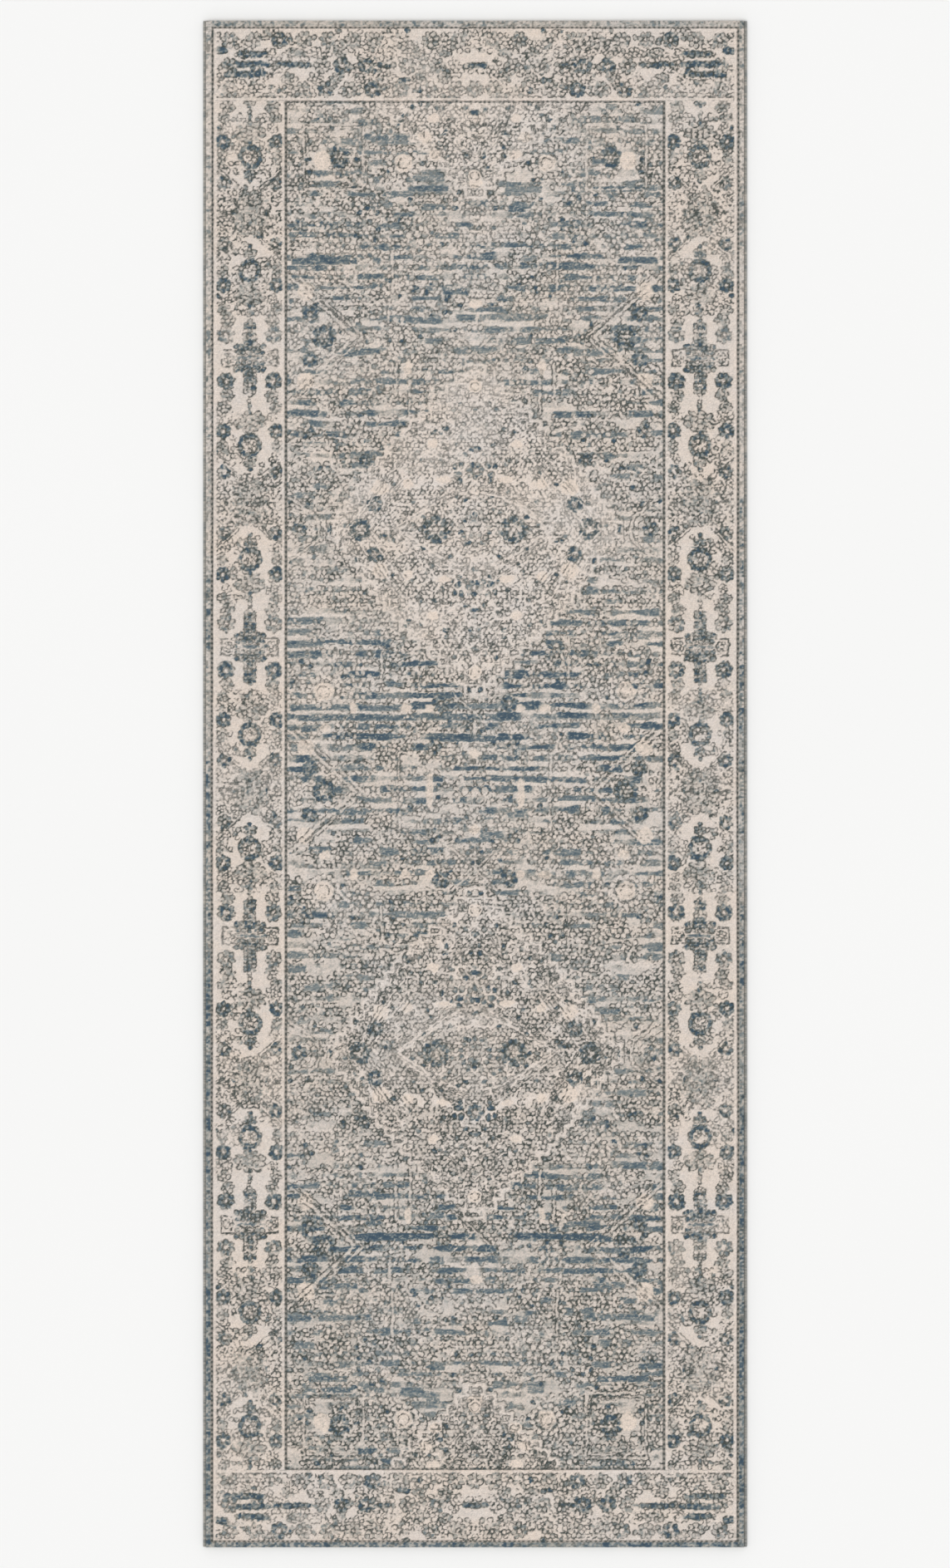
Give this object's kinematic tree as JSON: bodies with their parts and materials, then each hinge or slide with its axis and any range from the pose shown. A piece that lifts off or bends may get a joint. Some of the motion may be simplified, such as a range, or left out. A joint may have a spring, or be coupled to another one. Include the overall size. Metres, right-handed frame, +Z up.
{
  "type": "runner rug",
  "caption": "Long narrow machine-woven rug with high and low pile, traditional diamond medallions in a wide border, overcast long edges and taped ends.",
  "frame": {"origin": "on the floor, under the centre of the rug", "axes": "+X across the rug, +Y along it towards the end at the top of the picture, +Z up out of the pile"},
  "size_m": [0.813, 2.28, 0.0095],
  "materials": {
    "field_yarn": "cut pile, cream, grey and slate blue yarns with darker sunk outlines",
    "border_yarn": "cut pile, cream and sand yarns with darker sunk outlines",
    "guard_yarn": "cut pile in short bars of blue, grey and cream",
    "ground_cloth": "coarse plain weave",
    "overcast_yarn": "tightly wound yarn",
    "edge_cord": "twisted cord",
    "tape": "herringbone tape",
    "thread": "sewing thread",
    "label": "plain satin label, blank"
  },
  "bodies": {
    "root": {"ground_weave": "ground_cloth", "field_pile": "field_yarn", "border_pile": "border_yarn", "guard_pile": "guard_yarn", "overcast_edge_left": "overcast_yarn", "overcast_edge_right": "overcast_yarn", "edge_cord_left": "edge_cord", "edge_cord_right": "edge_cord", "end_tape_top": "tape", "end_tape_bottom": "tape", "end_stitching_top_outer": "thread", "end_stitching_top_inner": "thread", "end_stitching_bottom_outer": "thread", "end_stitching_bottom_inner": "thread", "corner_tack_top_left": "thread", "corner_tack_top_right": "thread", "corner_tack_bottom_left": "thread", "corner_tack_bottom_right": "thread", "care_label": "label", "care_label_stitching": "thread"}
  },
  "joints": []
}
